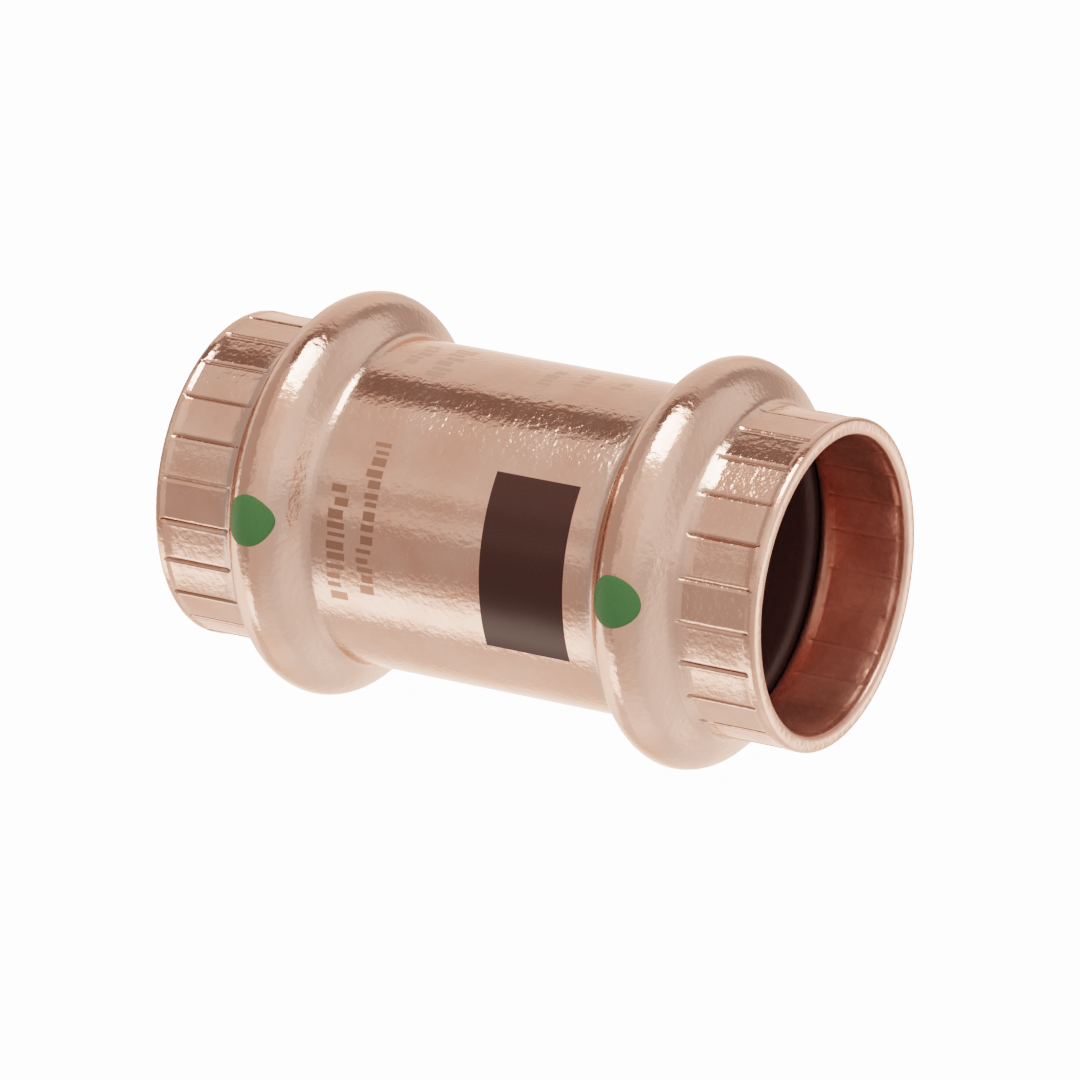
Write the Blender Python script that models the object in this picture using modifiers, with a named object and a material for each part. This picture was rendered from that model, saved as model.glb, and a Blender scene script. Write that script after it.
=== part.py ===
"""Press-connect coupling for copper tube, nominal 3/4 inch.

One copper body, open from end to end, with a rolled bead and a collar at each
end, and one rubber sealing ring inside each bead.  Metres, +Z up.  The bore
runs along X, and the origin is in the middle of the bore, half way along it.
"""
import math

import bmesh
import bpy
from mathutils import Matrix

# Driving dimensions --------------------------------------------------------
TUBE_DIAMETER = 0.02222       # outside diameter of the tube that is pushed in
TUBE_CLEARANCE = 0.00009      # between that tube and the bore, on the radius
WALL = 0.0013                 # copper wall of the middle and the collars
BEAD_SPACING = 0.0312         # between the middles of the two beads
BEAD_TO_RIM = 0.0101          # from the middle of a bead to its rim
BEAD_HEIGHT = 0.0030          # how far a bead stands out from the tube wall
BEAD_CREST_ROUNDING = 0.0024  # radius of the crest, outside
BEAD_FOOT_ROUNDING = 0.0015   # radius where the bead meets the wall, outside
BEAD_WALL = 0.0011            # the wall thins where the bead is rolled out
RIM_ROUNDING = 0.0003         # on the four edges of the two rims

SEAL_GAP = 0.0003             # between a seal's back and its channel, all round
SEAL_WIDTH = 0.0040           # at the side that grips the tube
SEAL_LIP = 0.00005            # how far a seal stands into the bore
SEAL_FLATNESS = 2.6           # squareness of the side that grips the tube; 2 is round

CREASE_COUNT = 24             # lines pressed in around each collar
CREASE_DEPTH = 0.00014
CREASE_WIDTH = 0.00034
CREASE_RIM_MARGIN = 0.0007    # smooth lip left between a crease and the rim
CREASE_FOOT_REACH = 0.0003    # how far a crease runs up the foot of the bead
CREASE_CUTTER_HEIGHT = 0.0007

# Fineness of the round shapes ----------------------------------------------
BODY_STEPS = 3 * CREASE_COUNT
SEAL_STEPS = 48
CREST_SEGMENTS = 6            # even, so that a point lies on the crest's top
CHANNEL_CREST_SEGMENTS = 4
FOOT_SEGMENTS = 3
RIM_SEGMENTS = 2
SEAL_FACE_SEGMENTS = 6
MERGE = 0.00001

# Worked out from the sizes above -------------------------------------------
BORE_RADIUS = TUBE_DIAMETER / 2 + TUBE_CLEARANCE
TUBE_RADIUS = BORE_RADIUS + WALL
BEAD_RADIUS = TUBE_RADIUS + BEAD_HEIGHT
HALF_LENGTH = BEAD_SPACING / 2 + BEAD_TO_RIM
BEAD_PLACES = (BEAD_SPACING / 2, -BEAD_SPACING / 2)

# Two arcs make each flank of a bead and touch each other: the crest's, centred
# under the crest, and the foot's, centred out over the wall.
CREST_CENTRE = BEAD_RADIUS - BEAD_CREST_ROUNDING
FOOT_CENTRE = TUBE_RADIUS + BEAD_FOOT_ROUNDING

CHANNEL_CREST_ROUNDING = BEAD_CREST_ROUNDING - BEAD_WALL
SEAL_INNER = BORE_RADIUS - SEAL_LIP

ALONG_X = (0.0, math.pi / 2, 0.0)    # lays a piece turned around Z along X

COPPER = (0.62, 0.30, 0.20, 1.0)
RUBBER = (0.012, 0.010, 0.010, 1.0)


def clear_scene():
    for obj in list(bpy.data.objects):
        bpy.data.objects.remove(obj, do_unlink=True)


def new_collection(name, scene):
    collection = bpy.data.collections.new(name)
    scene.collection.children.link(collection)
    return collection


def make_material(name, colour, roughness, metallic):
    material = bpy.data.materials.new(name)
    material.use_nodes = True
    shader = material.node_tree.nodes["Principled BSDF"]
    shader.inputs["Base Color"].default_value = colour
    shader.inputs["Roughness"].default_value = roughness
    shader.inputs["Metallic"].default_value = metallic
    return material


def arc(centre_radius, centre_along, radius, start, end, segments):
    """Points of an arc as (distance from axis, place along it).

    An angle of 0 points away from the axis, and 90 degrees along it.
    """
    points = []
    for step in range(segments + 1):
        angle = start + (end - start) * step / segments
        points.append((centre_radius + radius * math.cos(angle),
                       centre_along + radius * math.sin(angle)))
    return points


def bead_shape(wall_radius, crest_rounding):
    """Half the width of a bead between its feet, and the slope where its arcs touch."""
    reach = FOOT_CENTRE - wall_radius + crest_rounding
    half_width = math.sqrt(reach ** 2 - (FOOT_CENTRE - CREST_CENTRE) ** 2)
    return half_width, math.asin(half_width / reach)


def bead_side(place, wall_radius, crest_rounding, crest_segments):
    """One face of a bead, from its +end foot over the crest to its -end foot.

    The outside face starts on the outer wall, and the channel for the seal on
    the bore.
    """
    half_width, flank = bead_shape(wall_radius, crest_rounding)
    foot_rounding = FOOT_CENTRE - wall_radius
    near_foot = arc(FOOT_CENTRE, place + half_width, foot_rounding,
                    math.pi, math.pi + flank, FOOT_SEGMENTS)
    crest = arc(CREST_CENTRE, place, crest_rounding, flank, -flank, crest_segments)
    far_foot = arc(FOOT_CENTRE, place - half_width, foot_rounding,
                   math.pi - flank, math.pi, FOOT_SEGMENTS)
    return near_foot[:-1] + crest + far_foot[1:]


def rim_edge(radius, end, start, finish):
    """A rounded rim edge: end is +1 or -1, and radius is that of the arc's centre."""
    centre_along = end * (HALF_LENGTH - RIM_ROUNDING)
    return arc(radius, centre_along, RIM_ROUNDING, start, finish, RIM_SEGMENTS)


def body_outline():
    quarter = math.pi / 2
    outer_edge = TUBE_RADIUS - RIM_ROUNDING
    inner_edge = BORE_RADIUS + RIM_ROUNDING
    outline = rim_edge(outer_edge, 1, quarter, 0)
    for place in BEAD_PLACES:
        outline += bead_side(place, TUBE_RADIUS, BEAD_CREST_ROUNDING, CREST_SEGMENTS)
    outline += rim_edge(outer_edge, -1, 0, -quarter)
    outline += rim_edge(inner_edge, -1, -quarter, -2 * quarter)
    for place in reversed(BEAD_PLACES):
        channel = bead_side(place, BORE_RADIUS, CHANNEL_CREST_ROUNDING,
                            CHANNEL_CREST_SEGMENTS)
        outline += reversed(channel)
    outline += rim_edge(inner_edge, 1, 2 * quarter, quarter)
    return outline


def seal_outline():
    """A seal's section: its back follows the channel, and its face bulges to the bore."""
    half_width, flank = bead_shape(BORE_RADIUS, CHANNEL_CREST_ROUNDING)
    foot_rounding = FOOT_CENTRE - BORE_RADIUS + SEAL_GAP
    edge_angle = math.asin((half_width - SEAL_WIDTH / 2) / foot_rounding)
    edge_radius = FOOT_CENTRE - foot_rounding * math.cos(edge_angle)
    near_side = arc(FOOT_CENTRE, half_width, foot_rounding,
                    math.pi + edge_angle, math.pi + flank, FOOT_SEGMENTS)
    crest = arc(CREST_CENTRE, 0.0, CHANNEL_CREST_ROUNDING - SEAL_GAP,
                flank, -flank, CHANNEL_CREST_SEGMENTS)
    far_side = arc(FOOT_CENTRE, -half_width, foot_rounding,
                   math.pi - flank, math.pi - edge_angle, FOOT_SEGMENTS)
    face = []
    for step in range(1, SEAL_FACE_SEGMENTS):
        angle = math.pi * step / SEAL_FACE_SEGMENTS
        across = -math.cos(angle)
        bulge = math.sin(angle) ** (2 / SEAL_FLATNESS)
        squared = math.copysign(abs(across) ** (2 / SEAL_FLATNESS), across)
        face.append((edge_radius - (edge_radius - SEAL_INNER) * bulge,
                     SEAL_WIDTH / 2 * squared))
    return near_side[:-1] + crest + far_side[1:] + face


def turned_piece(name, outline, steps, material, collection):
    """A closed outline swept around the bore's axis, which is laid along X."""
    vertices = [(radius, 0.0, along) for radius, along in outline]
    count = len(vertices)
    edges = [(index, (index + 1) % count) for index in range(count)]
    mesh = bpy.data.meshes.new(name)
    mesh.from_pydata(vertices, edges, [])
    mesh.materials.append(material)
    piece = bpy.data.objects.new(name, mesh)
    piece.rotation_euler = ALONG_X
    collection.objects.link(piece)
    screw = piece.modifiers.new("turn", "SCREW")
    screw.axis = "Z"
    screw.angle = 2 * math.pi
    screw.steps = steps
    screw.render_steps = steps
    screw.use_merge_vertices = True
    screw.merge_threshold = MERGE
    screw.use_smooth_shade = True
    return piece


def crease_cutter(collection):
    """The creases of both collars: three-sided bars with an edge towards the bore."""
    half_width, _flank = bead_shape(TUBE_RADIUS, BEAD_CREST_ROUNDING)
    start = BEAD_SPACING / 2 + half_width - CREASE_FOOT_REACH
    end = HALF_LENGTH - CREASE_RIM_MARGIN
    # A bar of radius r has an edge r inside its middle and a flat r / 2 outside it.
    bar_radius = CREASE_CUTTER_HEIGHT / 1.5
    slope = CREASE_WIDTH / 2 / CREASE_DEPTH
    widening = slope / math.tan(math.radians(30))
    middle = TUBE_RADIUS - CREASE_DEPTH + bar_radius
    edge_inward = Matrix.Rotation(math.pi / 2, 4, "Z")
    widen = Matrix.Diagonal((1.0, widening, 1.0, 1.0))
    bars = bmesh.new()
    for side in (1, -1):
        place = Matrix.Translation((middle, 0.0, side * (start + end) / 2))
        for index in range(CREASE_COUNT):
            turn = Matrix.Rotation(2 * math.pi * index / CREASE_COUNT, 4, "Z")
            bmesh.ops.create_cone(bars, cap_ends=True, segments=3, radius1=bar_radius,
                                  radius2=bar_radius, depth=end - start,
                                  matrix=turn @ place @ widen @ edge_inward)
    mesh = bpy.data.meshes.new("crease_cutter")
    bars.to_mesh(mesh)
    bars.free()
    cutter = bpy.data.objects.new("crease_cutter", mesh)
    cutter.rotation_euler = ALONG_X
    cutter.hide_render = True
    cutter.display_type = "WIRE"
    collection.objects.link(cutter)
    return cutter


def make_body(material, parts, cutters):
    body = turned_piece("coupling_body", body_outline(), BODY_STEPS, material, parts)
    cut = body.modifiers.new("collar_creases", "BOOLEAN")
    cut.operation = "DIFFERENCE"
    cut.solver = "EXACT"
    cut.object = crease_cutter(cutters)


def make_seals(material, parts):
    for name, place in zip(("right_seal", "left_seal"), BEAD_PLACES):
        seal = turned_piece(name, seal_outline(), SEAL_STEPS, material, parts)
        seal.location.x = place


def main():
    clear_scene()
    scene = bpy.context.scene
    parts = new_collection("press_coupling", scene)
    cutters = new_collection("cutters", scene)
    copper = make_material("copper", COPPER, 0.28, 1.0)
    rubber = make_material("seal_rubber", RUBBER, 0.45, 0.0)
    make_body(copper, parts, cutters)
    make_seals(rubber, parts)


main()
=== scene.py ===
import math
import random

import bmesh
import bpy
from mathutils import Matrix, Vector, noise


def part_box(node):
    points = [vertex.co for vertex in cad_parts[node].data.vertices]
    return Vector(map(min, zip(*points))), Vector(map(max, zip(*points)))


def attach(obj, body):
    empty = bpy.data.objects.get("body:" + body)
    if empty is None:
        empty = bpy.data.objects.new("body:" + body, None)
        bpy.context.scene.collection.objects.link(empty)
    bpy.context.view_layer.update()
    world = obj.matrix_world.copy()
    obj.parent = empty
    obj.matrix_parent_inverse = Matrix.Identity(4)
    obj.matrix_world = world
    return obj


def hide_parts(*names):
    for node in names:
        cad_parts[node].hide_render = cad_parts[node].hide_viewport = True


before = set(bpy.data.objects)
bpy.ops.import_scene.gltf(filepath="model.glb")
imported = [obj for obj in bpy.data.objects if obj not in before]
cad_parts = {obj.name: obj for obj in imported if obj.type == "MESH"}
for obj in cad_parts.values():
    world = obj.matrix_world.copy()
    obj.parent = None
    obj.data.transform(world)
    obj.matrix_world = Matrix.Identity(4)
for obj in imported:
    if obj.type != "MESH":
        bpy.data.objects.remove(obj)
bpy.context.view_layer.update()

MM = 0.001

# Real sizes, in metres ------------------------------------------------------
BORE = 11.2 * MM               # radius of the bore in the middle and the collars
WALL = 1.3 * MM
BEAD_WALL = 1.1 * MM           # thinner, because the bead is rolled out
BEAD_HALF_WIDTH = 3.79 * MM    # from a bead's crest to its foot, outside
CHANNEL_HALF_WIDTH = 4.0 * MM  # the same inside, where the seal sits
CREST_ROUNDING = 2.6 * MM
FLANK_SLOPE = math.radians(58)
RIM_ROUNDING = 0.35 * MM
WAVE_HEIGHT = 0.02 * MM        # of the unevenness all over the copper
WAVE_LENGTH = 4.0 * MM

low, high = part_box("coupling_body")
seal_low, seal_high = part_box("right_seal")
HALF_LENGTH = high.x
BEAD_RADIUS = high.z
BEAD_PLACE = (seal_low.x + seal_high.x) / 2
TUBE = BORE + WALL

# The collars: 24 pads pressed in side by side, with a crease between each two
PADS = 24
PAD_SEED = 24
PAD_SPAN = 2 * math.pi / PADS
PAD_START = BEAD_PLACE + 3.65 * MM
PAD_END = HALF_LENGTH - 0.62 * MM
PAD_RAMP = 0.42 * MM           # from the full surface down to a pad
PAD_SINK = 0.05 * MM
PAD_TILT = 0.018 * MM          # the most that a pad leans to one side
PAD_FLATNESS = 0.45            # of the way from round to a flat chord
CREASE_DEPTH = 0.14 * MM
CREASE_DEPTH_INSIDE = CREASE_DEPTH / 3
CREASE_HALF_WIDTH = 0.12 * MM
CREASE_LEAD = 0.12 * MM        # how far a crease starts before its pad does
CREASE_FADE = 0.10 * MM        # over which it then reaches its depth
CREASE_TAIL = 0.05 * MM        # how far it runs on past its pad
BURR_HEIGHT = 0.035 * MM       # of the ridge pushed up beside a crease
BURR_OFFSET = 0.26 * MM
CREASE_DIRT_AND_SHADE_HALF_WIDTH = 0.11 * MM   # of the dirt and the painted shade along a crease

# The flanks of the beads, rubbed by the roller that formed them
SATIN_START = 0.9 * MM         # from a bead's crest
SATIN_FULL = 1.8 * MM
SATIN_FADE = 0.7 * MM          # past the bead's foot
SATIN_ON_THE_RIGHT = 0.65      # as a share of the left flank's

# Fineness of the meshes
SHARP_FROM = 50                # degrees; an edge bent more than this shows as sharp
PRINT_SHARP_FROM = 30
COLUMNS_PER_PAD = 18
COLUMN_CROWDING = 1.7          # columns crowd towards the creases
OUTSIDE_RINGS = (5, 24, 32, 10)  # on a rim, a collar, a bead, and half of the middle
INSIDE_RINGS = (3, 12, 16, 4)
FOOT_RINGS = 4
FOOT_START, FOOT_END = 0.9, 1.1  # where a bead's foot lies, in half widths from its crest


# Small helpers --------------------------------------------------------------
def linear(hex_colour):
    """An sRGB colour such as "#b87333" as linear red, green, blue and alpha."""
    channels = [int(hex_colour[start:start + 2], 16) / 255 for start in (1, 3, 5)]
    return tuple(c / 12.92 if c <= 0.04045 else ((c + 0.055) / 1.055) ** 2.4
                 for c in channels) + (1.0,)


def smooth(value, start, end):
    """0 before start, 1 after end, and an S-shaped rise between them."""
    share = min(max((value - start) / (end - start), 0.0), 1.0)
    return share * share * (3 - 2 * share)


def bell(distance, half_width):
    """1 at no distance, falling off softly to either side."""
    return math.exp(-(distance / half_width) ** 2)


def mesh_piece(name, vertices, faces, material, sharp_from=SHARP_FROM, wear_and_shade=()):
    """A mesh that rides on the body, with maps for the shader: each pair is a map's name and its value at
    every point. They hold wear, and dirt with painted shade.
    """
    mesh = bpy.data.meshes.new(name)
    mesh.from_pydata(vertices, [], faces)
    for map_name, values in wear_and_shade:
        mesh.attributes.new(map_name, "FLOAT", "POINT").data.foreach_set("value", values)
    mesh.materials.append(material)
    piece = bpy.data.objects.new(name, mesh)
    bpy.context.scene.collection.objects.link(piece)
    shape = bmesh.new()
    shape.from_mesh(mesh)
    bmesh.ops.recalc_face_normals(shape, faces=shape.faces)
    shape.to_mesh(mesh)
    shape.free()
    mesh.shade_smooth()
    mesh.set_sharp_from_angle(angle=math.radians(sharp_from))
    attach(piece, "root")
    return piece


# The copper's shape ---------------------------------------------------------
def bead_radius(offset, wall, crest, half_width, crest_rounding):
    """Radius at this distance from a bead's crest: a round crest, a straight flank, a hollow foot."""
    height = crest - wall
    roundings = (half_width - height / math.tan(FLANK_SLOPE)) / math.tan(FLANK_SLOPE / 2)
    foot_rounding = roundings - crest_rounding
    crest_end = crest_rounding * math.sin(FLANK_SLOPE)
    if offset < crest_end:
        return crest - crest_rounding + math.sqrt(crest_rounding ** 2 - offset ** 2)
    from_foot = half_width - offset
    if from_foot > foot_rounding * math.sin(FLANK_SLOPE):
        drop = crest_rounding * (1 - math.cos(FLANK_SLOPE))
        return crest - drop - (offset - crest_end) * math.tan(FLANK_SLOPE)
    if from_foot > 0:
        return wall + foot_rounding - math.sqrt(foot_rounding ** 2 - from_foot ** 2)
    return wall


def turned_outside(along):
    """Radius of the copper's outer face, without its pads and rounded rims."""
    offset = abs(abs(along) - BEAD_PLACE)
    return bead_radius(offset, TUBE, BEAD_RADIUS, BEAD_HALF_WIDTH, CREST_ROUNDING)


def turned_inside(along):
    """Radius of the copper's inner face, whose channels hold the seals."""
    offset = abs(abs(along) - BEAD_PLACE)
    crest = BEAD_RADIUS - BEAD_WALL
    return bead_radius(offset, BORE, crest, CHANNEL_HALF_WIDTH, CREST_ROUNDING - BEAD_WALL)


def make_pads():
    """Each pad's own depth, lean and ends, and each crease's own depth, as the press left them.
    Sink and crease are shares of the usual depth."""
    dice = random.Random(PAD_SEED)
    pads = {}
    for side in (1, -1):
        for index in range(PADS):
            pads[side, index] = {
                "sink": dice.uniform(0.7, 1.35),
                "tilt": dice.uniform(-1.0, 1.0) * PAD_TILT,
                "start": dice.uniform(-0.10, 0.12) * MM,
                "end": dice.uniform(-0.14, 0.10) * MM,
                "crease": dice.uniform(0.65, 1.25),
            }
    return pads


PAD_DETAILS = make_pads()


def find_pad(along, angle):
    """The pad at this place, how far across it the place is, -1 to 1, and the nearest crease."""
    side = 1 if along > 0 else -1
    turns = (angle / PAD_SPAN) % PADS
    index = int(turns)
    across = (turns - index) * 2 - 1
    nearest = index if across < 0 else (index + 1) % PADS
    return PAD_DETAILS[side, index], across, PAD_DETAILS[side, nearest]["crease"]


def crease_share(along, angle, half_width, offset=0.0):
    """About 1 in the middle of a crease's line, moved sideways by offset, and 0 away from it."""
    if abs(along) < PAD_START - PAD_RAMP:
        return 0.0
    pad, across, strength = find_pad(along, angle)
    start, end = PAD_START + pad["start"], PAD_END + pad["end"]
    line = smooth(abs(along), start - CREASE_LEAD, start + CREASE_FADE)
    line *= 1 - smooth(abs(along), end - CREASE_FADE, end + CREASE_TAIL)
    from_crease = math.copysign(TUBE * PAD_SPAN / 2 * (1 - abs(across)), -across)
    return line * strength * bell(from_crease + offset, half_width)


def pad_offset(along, angle, crease_depth, burr_height):
    """How far the press moved the collar's surface at this place, inwards negative."""
    if abs(along) < PAD_START - PAD_RAMP:
        return 0.0
    pad, across, _ = find_pad(along, angle)
    start, end = PAD_START + pad["start"], PAD_END + pad["end"]
    pressed = smooth(abs(along), start, start + PAD_RAMP)
    pressed *= 1 - smooth(abs(along), end - PAD_RAMP, end)
    chord = TUBE * (1 - math.cos(PAD_SPAN / 2)) * PAD_FLATNESS
    offset = -pressed * (PAD_SINK * pad["sink"] + chord * (1 - across ** 2))
    offset += pressed * pad["tilt"] * across
    offset -= crease_depth * crease_share(along, angle, CREASE_HALF_WIDTH)
    if burr_height:
        offset += burr_height * crease_share(along, angle, CREASE_HALF_WIDTH, BURR_OFFSET)
    return offset


def waviness(along, angle):
    """The slight unevenness that drawing and pressing leave in the wall."""
    place = Vector(on_bore(along, angle, TUBE)) / WAVE_LENGTH
    return WAVE_HEIGHT * noise.noise(place)


def rim_inset(along):
    """How far a rim's rounded edge lies below the full surface."""
    past = abs(along) - (HALF_LENGTH - RIM_ROUNDING)
    if past <= 0:
        return 0.0
    return RIM_ROUNDING - math.sqrt(max(RIM_ROUNDING ** 2 - past ** 2, 0.0))


def outer_radius(along, angle):
    """Radius of the copper's outer face, with everything the press left on it."""
    pressed = pad_offset(along, angle, CREASE_DEPTH, BURR_HEIGHT)
    return turned_outside(along) - rim_inset(along) + pressed + waviness(along, angle)


def inner_radius(along, angle):
    """The same for its inner face, where the creases show through more faintly."""
    pressed = pad_offset(along, angle, CREASE_DEPTH_INSIDE, 0.0)
    return turned_inside(along) + rim_inset(along) + pressed + waviness(along, angle)


def satin_share(along):
    """How much the forming roller dulled the copper here: the beads' flanks, most of all on the left."""
    offset = BEAD_PLACE - along if along > 0 else -BEAD_PLACE - along
    share = smooth(abs(offset), SATIN_START, SATIN_FULL)
    share *= 1 - smooth(abs(offset), BEAD_HALF_WIDTH, BEAD_HALF_WIDTH + SATIN_FADE)
    return share if offset > 0 else share * SATIN_ON_THE_RIGHT


def column_angles():
    """Angles of the mesh's columns, closest together at the creases."""
    angles = []
    for pad in range(PADS):
        for column in range(COLUMNS_PER_PAD):
            share = 2 * column / COLUMNS_PER_PAD - 1
            crowded = math.copysign(1 - (1 - abs(share)) ** COLUMN_CROWDING, share)
            angles.append((pad + 0.5 + crowded / 2) * PAD_SPAN)
    return angles


def spread(start, end, count):
    """count places from start towards end, without end itself."""
    return [start + (end - start) * step / count for step in range(count)]


def ring_places(rim_rings, collar_rings, bead_rings, middle_rings, half_width):
    """Places along the bore, from the left rim to the middle; the rest is mirrored."""
    rim = HALF_LENGTH - RIM_ROUNDING
    third = collar_rings // 3
    foot_start, foot_end = half_width * FOOT_START, half_width * FOOT_END
    half = [-(rim + RIM_ROUNDING * math.cos(math.pi / 2 * step / rim_rings))
            for step in range(rim_rings)]
    half += spread(-rim, -(PAD_END - PAD_RAMP), third)
    half += spread(-(PAD_END - PAD_RAMP), -(PAD_START + PAD_RAMP), third)
    half += spread(-(PAD_START + PAD_RAMP), -(BEAD_PLACE + foot_start), third)
    half += [-BEAD_PLACE - foot_start * math.cos(math.pi * step / bead_rings)
             for step in range(bead_rings)]
    half += spread(-(BEAD_PLACE - foot_start), -(BEAD_PLACE - foot_end), FOOT_RINGS)
    half += spread(-(BEAD_PLACE - foot_end), 0.0, middle_rings)
    return half + [0.0] + [-place for place in reversed(half)]


def on_bore(along, angle, radius):
    """A point at a place along the bore; angle 0 faces -Y, and 90 degrees +Z."""
    return (along, -radius * math.cos(angle), radius * math.sin(angle))


def make_body(skin, bore):
    """The copper: rings of points out along the outside and back along the bore."""
    angles = column_angles()
    rings = []
    outside = ring_places(*OUTSIDE_RINGS, BEAD_HALF_WIDTH)
    inside = ring_places(*INSIDE_RINGS, CHANNEL_HALF_WIDTH)
    for along in outside:
        rings.append([on_bore(along, angle, outer_radius(along, angle)) for angle in angles])
    for along in reversed(inside):
        rings.append([on_bore(along, angle, inner_radius(along, angle)) for angle in angles])
    vertices = [point for ring in rings for point in ring]
    columns = len(angles)
    faces = []
    for ring in range(len(rings)):
        following = (ring + 1) % len(rings)
        for column in range(columns):
            beside = (column + 1) % columns
            faces.append((ring * columns + column, ring * columns + beside,
                          following * columns + beside, following * columns + column))
    crease_dirt_and_shade, satin = [], []
    for along in outside:
        # Along each crease: dirt, with painted shade
        crease_dirt_and_shade += [crease_share(along, angle, CREASE_DIRT_AND_SHADE_HALF_WIDTH) for angle in angles]
        satin += [satin_share(along)] * columns
    bare = [0.0] * (len(vertices) - len(crease_dirt_and_shade))
    wear_and_shade = (("crease_dirt_and_shade", crease_dirt_and_shade + bare), ("satin", satin + bare))
    body = mesh_piece("copper_body", vertices, faces, skin, wear_and_shade=wear_and_shade)
    body.data.materials.append(bore)
    for face in body.data.polygons[len(outside) * columns:-columns]:
        face.material_index = 1
    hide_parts("coupling_body")


# The seals ------------------------------------------------------------------
SEAL_GAP = 0.08 * MM            # behind it, in its channel
SEAL_HALF_WIDTH = 2.1 * MM
SEAL_RADIUS = BORE - 0.05 * MM  # of its face, which grips the tube
SEAL_FACE_SQUARENESS = 2.6      # 2 is round
SEAL_GROOVE = 0.16              # how much of the face's height its middle groove takes
SEAL_GROOVE_WIDTH = 0.35        # as a share of the half width
SEAL_BACK_POINTS = 30
SEAL_FACE_POINTS = 28
SEAL_COLUMNS = 240


def seal_section(place):
    """Outline of a seal as (place along, radius): a back that follows the channel, a grooved face."""
    back = [SEAL_HALF_WIDTH * (2 * step / SEAL_BACK_POINTS - 1)
            for step in range(SEAL_BACK_POINTS + 1)]
    points = [(offset, turned_inside(BEAD_PLACE + offset) - SEAL_GAP) for offset in back]
    edge_radius = points[0][1]
    for step in range(1, SEAL_FACE_POINTS):
        angle = math.pi * step / SEAL_FACE_POINTS
        across = math.cos(angle)
        bulge = math.sin(angle) ** (2 / SEAL_FACE_SQUARENESS)
        bulge *= 1 - SEAL_GROOVE * bell(across, SEAL_GROOVE_WIDTH)
        squared = math.copysign(abs(across) ** (2 / SEAL_FACE_SQUARENESS), across)
        radius = edge_radius - (edge_radius - SEAL_RADIUS) * bulge
        points.append((SEAL_HALF_WIDTH * squared, radius))
    return [(place + along, radius) for along, radius in points]


def make_seal(name, node, place, material):
    """A sealing ring, turned from its section."""
    section = seal_section(place)
    vertices = []
    for column in range(SEAL_COLUMNS):
        angle = 2 * math.pi * column / SEAL_COLUMNS
        vertices += [on_bore(along, angle, radius) for along, radius in section]
    count = len(section)
    faces = []
    for column in range(SEAL_COLUMNS):
        beside = (column + 1) % SEAL_COLUMNS
        for point in range(count):
            following = (point + 1) % count
            faces.append((column * count + point, beside * count + point,
                          beside * count + following, column * count + following))
    seal = mesh_piece(name, vertices, faces, material)
    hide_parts(node)


# Marks on the copper --------------------------------------------------------
PRINT_LIFT = 0.012 * MM        # of the ink's face above the copper
PRINT_ROOT = 0.02 * MM         # how far each mark reaches into the copper, so that no gap shows
PRINT_COLUMN = 0.5 * MM        # the mesh's steps along the bore
PRINT_ROW = 0.3 * MM           # and round it

DOT_RADIUS = 2.0 * MM
DOT_THICKNESS = 0.05 * MM
DOT_SQUARENESS = 6             # flat on top, and falling off only near its edge
DOT_UNEVENNESS = (0.008, 0.018)  # of its edge, as a share of the radius
DOT_SPOKES, DOT_RINGS = 72, 12
MERGE = 0.001 * MM             # points closer than this become one

LABEL_LEFT, LABEL_RIGHT = 2.7 * MM, 9.75 * MM
LABEL_BOTTOM, LABEL_TOP = math.radians(-24.8), math.radians(38.6)

BAR_HEIGHTS = (1.3, 3.4)       # degrees round the tube
BAR_GAPS = (0.9, 1.8)
BAR_SHORTENING = 0.3           # the most that a bar is cut short, as a share of its column

# Each column of bars: its left and right in mm along the bore, and its top and bottom in degrees
FRONT_COLUMNS = ((-10.5, -8.9, 24, -15), (-7.9, -6.5, 41, -13))
TOP_COLUMNS = ((-9.6, -8.2, 94, 80), (-7.2, -5.4, 96, 74), (1.6, 2.8, 92, 80), (4.2, 5.4, 94, 82),
               (7.2, 8.4, 92, 86))


def skin_point(along, angle, lift):
    """A point this far above the copper's outer face."""
    return on_bore(along, angle, outer_radius(along, angle) + lift)


def make_dot(name, material, place, angle, seed):
    """A drop of paint on a bead's crest: domed, with a soft uneven edge."""
    dice = random.Random(seed)
    waves = [(lobes, dice.uniform(0.0, 2 * math.pi), dice.uniform(*DOT_UNEVENNESS))
             for lobes in (2, 3, 5)]
    top = []
    bottom = []
    for ring in range(DOT_RINGS + 1):
        share = ring / DOT_RINGS
        for spoke in range(DOT_SPOKES):
            turn = 2 * math.pi * spoke / DOT_SPOKES
            edge = DOT_RADIUS * (1 + sum(size * math.sin(lobes * turn + phase)
                                         for lobes, phase, size in waves))
            along = place + edge * share * math.cos(turn)
            lean = angle + edge * share * math.sin(turn) / BEAD_RADIUS
            lift = DOT_THICKNESS * (1 - share ** DOT_SQUARENESS) ** 0.5
            top.append(skin_point(along, lean, lift))
            bottom.append(skin_point(along, lean, -PRINT_ROOT))
    vertices = top + bottom
    faces = []
    layer = len(top)
    for ring in range(DOT_RINGS):
        for spoke in range(DOT_SPOKES):
            beside = (spoke + 1) % DOT_SPOKES
            corners = (ring * DOT_SPOKES + spoke, ring * DOT_SPOKES + beside,
                       (ring + 1) * DOT_SPOKES + beside, (ring + 1) * DOT_SPOKES + spoke)
            faces.append(corners)
            faces.append(tuple(layer + corner for corner in reversed(corners)))
    rim = DOT_RINGS * DOT_SPOKES
    for spoke in range(DOT_SPOKES):
        beside = (spoke + 1) % DOT_SPOKES
        faces.append((rim + spoke, rim + beside, layer + rim + beside, layer + rim + spoke))
    piece = mesh_piece(name, vertices, faces, material)
    shape = bmesh.new()
    shape.from_mesh(piece.data)
    bmesh.ops.remove_doubles(shape, verts=shape.verts, dist=MERGE)
    shape.to_mesh(piece.data)
    shape.free()


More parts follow.
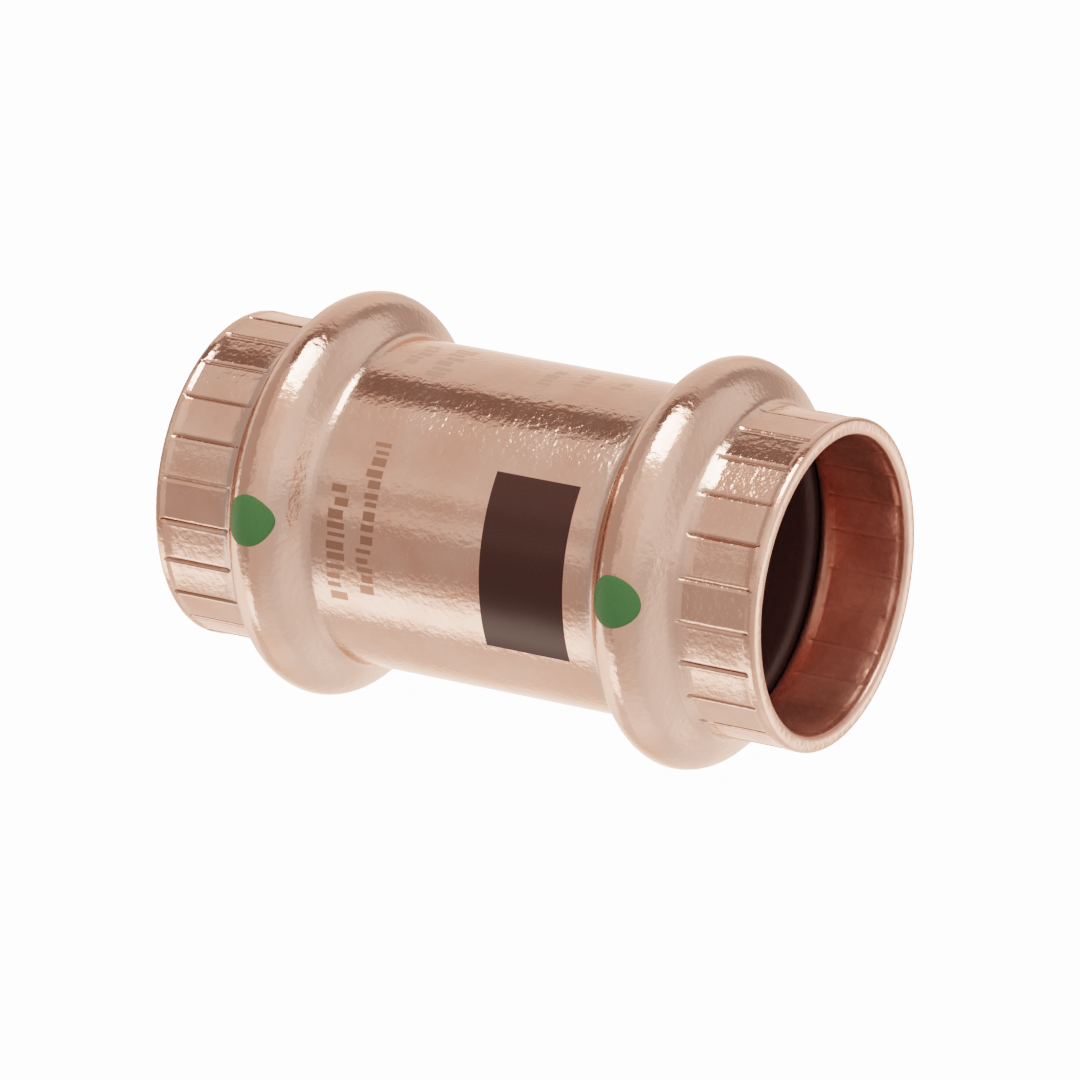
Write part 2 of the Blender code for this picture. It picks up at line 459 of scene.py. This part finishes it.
def add_patch(vertices, faces, low_along, high_along, low_angle, high_angle, lift):
    """Adds a thin rectangle of print, wrapped round the tube, to a list of points and faces."""
    first_vertex = len(vertices)
    columns = max(2, round((high_along - low_along) / PRINT_COLUMN))
    rows = max(2, round((high_angle - low_angle) * TUBE / PRINT_ROW))
    for layer_lift in (lift, -PRINT_ROOT):
        for row in range(rows + 1):
            angle = low_angle + (high_angle - low_angle) * row / rows
            for column in range(columns + 1):
                along = low_along + (high_along - low_along) * column / columns
                vertices.append(skin_point(along, angle, layer_lift))
    width = columns + 1
    layer = width * (rows + 1)
    patch = []
    for row in range(rows):
        for column in range(columns):
            first = row * width + column
            corners = (first, first + 1, first + 1 + width, first + width)
            patch.append(corners)
            patch.append(tuple(layer + corner for corner in reversed(corners)))
    border = list(range(columns))
    border += [row * width + columns for row in range(rows)]
    border += [rows * width + column for column in range(columns, 0, -1)]
    border += [row * width for row in range(rows, 0, -1)]
    for here, there in zip(border, border[1:] + border[:1]):
        patch.append((here, there, layer + there, layer + here))
    faces += [tuple(first_vertex + corner for corner in face) for face in patch]


def make_label(material):
    """The printed rectangle, left blank."""
    vertices, faces = [], []
    add_patch(vertices, faces, LABEL_LEFT, LABEL_RIGHT, LABEL_BOTTOM, LABEL_TOP, PRINT_LIFT)
    label = mesh_piece("label", vertices, faces, material, PRINT_SHARP_FROM)


def make_bars(name, material, columns, seed):
    """Columns of plain bars of unequal length, in place of small print. Each runs round the tube."""
    dice = random.Random(seed)
    vertices, faces = [], []
    for left, right, top, bottom in columns:
        low_along, high_along = left * MM, right * MM
        angle = math.radians(top)
        while angle > math.radians(bottom):
            height = math.radians(dice.uniform(*BAR_HEIGHTS))
            short = dice.uniform(0.0, BAR_SHORTENING) * (high_along - low_along)
            low_end = low_along + (short if dice.random() < 0.5 else 0.0)
            high_end = high_along - (short if low_end == low_along else 0.0)
            add_patch(vertices, faces, low_end, high_end, angle - height, angle, PRINT_LIFT / 2)
            angle -= height + math.radians(dice.uniform(*BAR_GAPS))
    bars = mesh_piece(name, vertices, faces, material, PRINT_SHARP_FROM)


# Materials ------------------------------------------------------------------
TARNISH_SIZE = 4.0 * MM        # of the faint clouds in the copper's colour
HAZE_SIZE = 1.2 * MM           # of the duller and brighter spots
DENT_SIZE = 0.5 * MM           # of the small dents
DENT_DEPTH = 0.035 * MM
LINE_SPACING = 0.25 * MM       # of the drawing lines, coarser than real so that they show
LINE_LENGTH = 6.0 * MM
LINE_DEPTH = 0.005 * MM
DIRT_AND_SHADE_COVER = 0.6               # the most that the dirt and painted shade in the creases hide of the copper
SATIN_COVER = 0.7
SATIN_ROUGHNESS = 0.12         # added where the roller rubbed
COLOUR_A, COLOUR_B, COLOUR_OUT = 6, 7, 2  # a Mix node's sockets for colours


def new_material(name):
    """A material, its node tree and its shader."""
    material = bpy.data.materials.new(name)
    material.use_nodes = True
    tree = material.node_tree
    return material, tree, tree.nodes["Principled BSDF"]


def add(tree, kind, links=(), **settings):
    """Adds a node, sets its sockets or properties by name, and links its inputs."""
    node = tree.nodes.new(kind)
    for key, value in settings.items():
        if hasattr(node, key):
            setattr(node, key, value)
        else:
            node.inputs[key.replace("_", " ")].default_value = value
    for socket, source in links:
        tree.links.new(source, node.inputs[socket])
    return node


def copper(name, dull_colour, bright_colour, smoothest, roughest, metallic=1.0):
    """Copper with fine drawing lines round the tube, small dents that break up reflections,
    tarnish clouds, dull flanks, and dirt with painted shade in the creases, where the mesh says so."""
    material, tree, shader = new_material(name)
    shader.inputs["Metallic"].default_value = metallic
    shader.inputs["Specular Tint"].default_value = linear("#f2e5df")
    place = add(tree, "ShaderNodeTexCoord").outputs["Object"]

    tarnish = add(tree, "ShaderNodeTexNoise", [("Vector", place)], Scale=1 / TARNISH_SIZE, Detail=4.0)
    clean = add(tree, "ShaderNodeValToRGB", [("Fac", tarnish.outputs["Fac"])])
    dull, bright = clean.color_ramp.elements
    dull.position, bright.position = 0.35, 0.65
    dull.color, bright.color = linear(dull_colour), linear(bright_colour)
    # Darkens the creases: partly dirt, partly painted shade
    crease_dirt_and_shade = add(tree, "ShaderNodeAttribute", attribute_name="crease_dirt_and_shade").outputs["Fac"]
    dirt_and_shade = add(tree, "ShaderNodeMapRange", [("Value", crease_dirt_and_shade)], From_Max=0.9, To_Max=DIRT_AND_SHADE_COVER)
    with_dirt_and_shade = add(tree, "ShaderNodeMix", [("Factor", dirt_and_shade.outputs["Result"])], data_type="RGBA")
    tree.links.new(clean.outputs["Color"], with_dirt_and_shade.inputs[COLOUR_A])
    # The dark brown of the creases: dirt, and painted shade
    with_dirt_and_shade.inputs[COLOUR_B].default_value = linear("#7d5d4f")
    satin = add(tree, "ShaderNodeAttribute", attribute_name="satin").outputs["Fac"]
    rubbed = add(tree, "ShaderNodeMapRange", [("Value", satin)], To_Max=SATIN_COVER)
    whole = add(tree, "ShaderNodeMix", [("Factor", rubbed.outputs["Result"])], data_type="RGBA")
    tree.links.new(with_dirt_and_shade.outputs[COLOUR_OUT], whole.inputs[COLOUR_A])
    whole.inputs[COLOUR_B].default_value = linear("#dcc9c0")
    tree.links.new(whole.outputs[COLOUR_OUT], shader.inputs["Base Color"])

    haze = add(tree, "ShaderNodeTexNoise", [("Vector", place)], Scale=1 / HAZE_SIZE, Detail=3.0)
    rough = add(tree, "ShaderNodeMapRange", [("Value", haze.outputs["Fac"])],
                To_Min=smoothest, To_Max=roughest)
    rougher = add(tree, "ShaderNodeMath", [(0, satin), (2, rough.outputs["Result"])],
                  operation="MULTIPLY_ADD")
    rougher.inputs[1].default_value = SATIN_ROUGHNESS
    tree.links.new(rougher.outputs[0], shader.inputs["Roughness"])

    dents = add(tree, "ShaderNodeTexNoise", [("Vector", place)], Scale=1 / DENT_SIZE, Detail=2.0)
    around = add(tree, "ShaderNodeMapping", [("Vector", place)],
                 Scale=(1 / LINE_SPACING, 1 / LINE_LENGTH, 1 / LINE_LENGTH))
    lines = add(tree, "ShaderNodeTexNoise", [("Vector", around.outputs["Vector"])], Scale=1.0, Detail=2.0)
    dented = add(tree, "ShaderNodeBump", [("Height", dents.outputs["Fac"])],
                 Strength=1.0, Distance=DENT_DEPTH)
    drawn = add(tree, "ShaderNodeBump",
                [("Height", lines.outputs["Fac"]), ("Normal", dented.outputs["Normal"])],
                Strength=1.0, Distance=LINE_DEPTH)
    tree.links.new(drawn.outputs["Normal"], shader.inputs["Normal"])
    return material


def drawn_copper():
    """The outside, bright from drawing: a warm mirror."""
    return copper("drawn_copper", "#f2c5b4", "#fad2c4", 0.06, 0.14)


def bore_copper():
    """The inside, under a thin oxide film that scatters light: soft reflections, red in the shade."""
    return copper("bore_copper", "#dcb0a4", "#eec6ba", 0.24, 0.38, metallic=0.84)


def plain(name, hex_colour, roughness, **sockets):
    """One even colour; sockets are the shader's others, by name."""
    material, _, shader = new_material(name)
    shader.inputs["Base Color"].default_value = linear(hex_colour)
    shader.inputs["Roughness"].default_value = roughness
    for socket, value in sockets.items():
        shader.inputs[socket.replace("_", " ")].default_value = value
    return material


def epdm_rubber():
    """Moulded EPDM rubber: near black, with a soft sheen."""
    return plain("epdm_rubber", "#54474a", 0.35)


def green_paint():
    """Marking paint, dabbed on: an even green, almost matt."""
    return plain("green_paint", "#4e7f54", 0.5)


def dark_ink():
    """Printed ink in a full coat: near black brown, glossy enough to reflect the light sheets below."""
    return plain("dark_ink", "#463230", 0.2, Specular_IOR_Level=0.55)


def faded_ink():
    """The same ink in a thin coat: the copper shines through, browner than bare."""
    return plain("faded_ink", "#b99585", 0.3, Metallic=1.0, Specular_Tint=linear("#d8b7aa"))


def faint_ink():
    """The thinnest coat, nearly rubbed off: only a shade darker than the copper."""
    return plain("faint_ink", "#e3c4b8", 0.25, Metallic=1.0, Specular_Tint=linear("#e2d1c9"))


# Studio ---------------------------------------------------------------------
TABLE_GLOW = 7.0               # bright enough to show as pure white
PANEL_GLOW = 6.5               # of the panel overhead
PANEL_GLOW_RIGHT = 5.0         # of its right part, which is dimmer
SEAM_GLOW = 0.2                # of the dark seam along the panel
SEAM_GLOW_LEFT = 0.19
FLOOR_SIZE = 40.0              # metres, so that its edge is never in view


def make_floor():
    """A white light table: it glows, so nothing on it has a hard shadow."""
    material, _, shader = new_material("light_table")
    shader.inputs["Base Color"].default_value = linear("#f4f4f4")
    shader.inputs["Roughness"].default_value = 0.8
    shader.inputs["Emission Color"].default_value = linear("#ffffff")
    shader.inputs["Emission Strength"].default_value = TABLE_GLOW
    bpy.ops.mesh.primitive_plane_add(size=FLOOR_SIZE, location=(0, 0, -BEAD_RADIUS))
    floor = bpy.context.object
    floor.name = "floor"
    floor.data.materials.append(material)
    # The tent's own lower sheets light the copper instead
    floor.visible_glossy = False
    floor.visible_diffuse = False


def tent_strip(tree, angle, stops):
    """Brightness of one strip of the tent by angle: 0 is the front, 90 the top, 180 the back."""
    share = add(tree, "ShaderNodeMapRange", [("Value", angle)], From_Min=-math.pi, From_Max=math.pi)
    ramp = add(tree, "ShaderNodeValToRGB", [("Fac", share.outputs["Result"])])
    elements = ramp.color_ramp.elements
    while len(elements) < len(stops):
        elements.new(0.5)
    brightest = max(level for _, level in stops)
    for element, (degrees, level) in zip(elements, stops):
        element.position = (degrees + 180) / 360
        element.color = (level / brightest,) * 3 + (1.0,)
    scaled = add(tree, "ShaderNodeMath", [(0, ramp.outputs["Color"])], operation="MULTIPLY")
    scaled.inputs[1].default_value = brightest
    return scaled.outputs[0]


def tent_join(tree, along, start, end, left, right):
    """Left strip before start, right strip after end, and a soft change between them. Along is -1
    straight to the left, 0 anywhere square to the bore, and 1 straight to the right."""
    share = add(tree, "ShaderNodeMapRange", [("Value", along)], interpolation_type="SMOOTHSTEP",
                From_Min=start, From_Max=end)
    mix = add(tree, "ShaderNodeMix", [("Factor", share.outputs["Result"]), ("A", left), ("B", right)])
    return mix.outputs["Result"]


def make_world():
    """A warm white light tent: a bright panel overhead, a dark seam along its left edge, and sheets
    below. Behind the object is plain white."""
    world = bpy.data.worlds.new("tent")
    bpy.context.scene.world = world
    world.use_nodes = True
    tree = world.node_tree
    background = tree.nodes["Background"]
    direction = add(tree, "ShaderNodeTexCoord").outputs["Generated"]
    parts = add(tree, "ShaderNodeSeparateXYZ", [("Vector", direction)])
    front = add(tree, "ShaderNodeMath", [(0, parts.outputs["Y"])], operation="MULTIPLY")
    front.inputs[1].default_value = -1.0
    angle = add(tree, "ShaderNodeMath", [(0, parts.outputs["Z"]), (1, front.outputs[0])],
                operation="ARCTAN2").outputs[0]
    far_left = tent_strip(tree, angle, [
        (-150, 0.7), (-135, 1.5), (-55, 1.5), (-40, 0.5), (0, 0.4), (120, 0.45), (150, 0.9)])
    near_left = tent_strip(tree, angle, [
        (-180, 1.4), (-154, 2.6), (-112, 1.0), (-75, 0.8), (-62, 2.2), (-50, 2.0), (-38, 0.7),
        (-28, 0.4), (0, 0.4), (10, 0.67), (22, 0.45), (34, 0.7), (50, 0.62), (90, 0.62),
        (95, SEAM_GLOW_LEFT), (114, SEAM_GLOW_LEFT), (120, 0.65), (150, 0.8), (180, 1.4)])
    middle = tent_strip(tree, angle, [
        (-180, 0.9), (-150, 1.9), (-112, 0.95), (-85, 1.1), (-60, 0.85), (-35, 0.56), (0, 0.56),
        (60, 0.85), (70, 1.2), (75, PANEL_GLOW), (98, PANEL_GLOW), (103, 1.0),
        (107, SEAM_GLOW), (112, SEAM_GLOW), (118, 0.55), (155, 0.9), (180, 0.9)])
    off_middle = tent_strip(tree, angle, [
        (-180, 0.45), (-140, 1.2), (-110, 0.95), (-85, 1.1), (-60, 0.85), (-30, 0.6), (0, 0.58),
        (60, 0.9), (70, 1.2), (75, PANEL_GLOW_RIGHT), (98, PANEL_GLOW_RIGHT), (103, 1.0),
        (107, SEAM_GLOW), (112, SEAM_GLOW), (118, 0.45), (145, 0.32), (180, 0.45)])
    right = tent_strip(tree, angle, [
        (-180, 1.0), (-158, 1.8), (-136, 1.9), (-110, 1.0), (-60, 0.8), (-30, 0.62), (0, 0.6), (35, 0.95),
        (100, 0.95), (120, 0.6), (180, 1.0)])
    left = tent_join(tree, parts.outputs["X"], -0.68, -0.60, far_left, near_left)
    half = tent_join(tree, parts.outputs["X"], -0.41, -0.35, left, middle)
    most = tent_join(tree, parts.outputs["X"], -0.05, 0.20, half, off_middle)
    whole = tent_join(tree, parts.outputs["X"], 0.38, 0.50, most, right)
    seen = add(tree, "ShaderNodeLightPath").outputs["Is Camera Ray"]
    strength = add(tree, "ShaderNodeMix", [("Factor", seen), ("A", whole)], B=TABLE_GLOW)
    tree.links.new(strength.outputs["Result"], background.inputs["Strength"])
    colour = add(tree, "ShaderNodeMix", [("Factor", seen)], data_type="RGBA")
    colour.inputs[COLOUR_A].default_value = linear("#ffe9dd")
    colour.inputs[COLOUR_B].default_value = linear("#ffffff")
    tree.links.new(colour.outputs[COLOUR_OUT], background.inputs["Color"])


def make_camera():
    """A long lens, to the right of the front and above it."""
    azimuth, elevation = math.radians(30.4), math.radians(19.4)
    distance = 0.568               # metres, from the middle of the frame
    data = bpy.data.cameras.new("camera")
    data.sensor_width = 36.0
    data.lens = 253.4
    data.clip_start = 0.05
    camera = bpy.data.objects.new("camera", data)
    bpy.context.scene.collection.objects.link(camera)
    towards = Vector((math.sin(azimuth) * math.cos(elevation),
                      -math.cos(azimuth) * math.cos(elevation), math.sin(elevation)))
    turn = (-towards).to_track_quat("-Z", "Y")
    aside, below = 0.485 * MM, 0.935 * MM  # from the object's middle to the frame's
    aim = turn @ Vector((aside, -below, 0.0))
    camera.location = aim + towards * distance
    camera.rotation_mode = "QUATERNION"
    camera.rotation_quaternion = turn
    bpy.context.scene.camera = camera


# The coupling ---------------------------------------------------------------
rubber = epdm_rubber()
paint = green_paint()
make_body(drawn_copper(), bore_copper())
make_seal("right_ring", "right_seal", BEAD_PLACE, rubber)
make_seal("left_ring", "left_seal", -BEAD_PLACE, rubber)
make_dot("right_dot", paint, place=BEAD_PLACE - 0.1 * MM, angle=math.radians(6.2), seed=3)
make_dot("left_dot", paint, place=-BEAD_PLACE - 0.12 * MM, angle=math.radians(8.8), seed=8)
make_label(dark_ink())
make_bars("front_print", faded_ink(), FRONT_COLUMNS, seed=5)
make_bars("top_print", faint_ink(), TOP_COLUMNS, seed=11)

make_floor()
make_world()
make_camera()
view = bpy.context.scene.view_settings
view.view_transform = "Filmic"
view.look = "High Contrast"
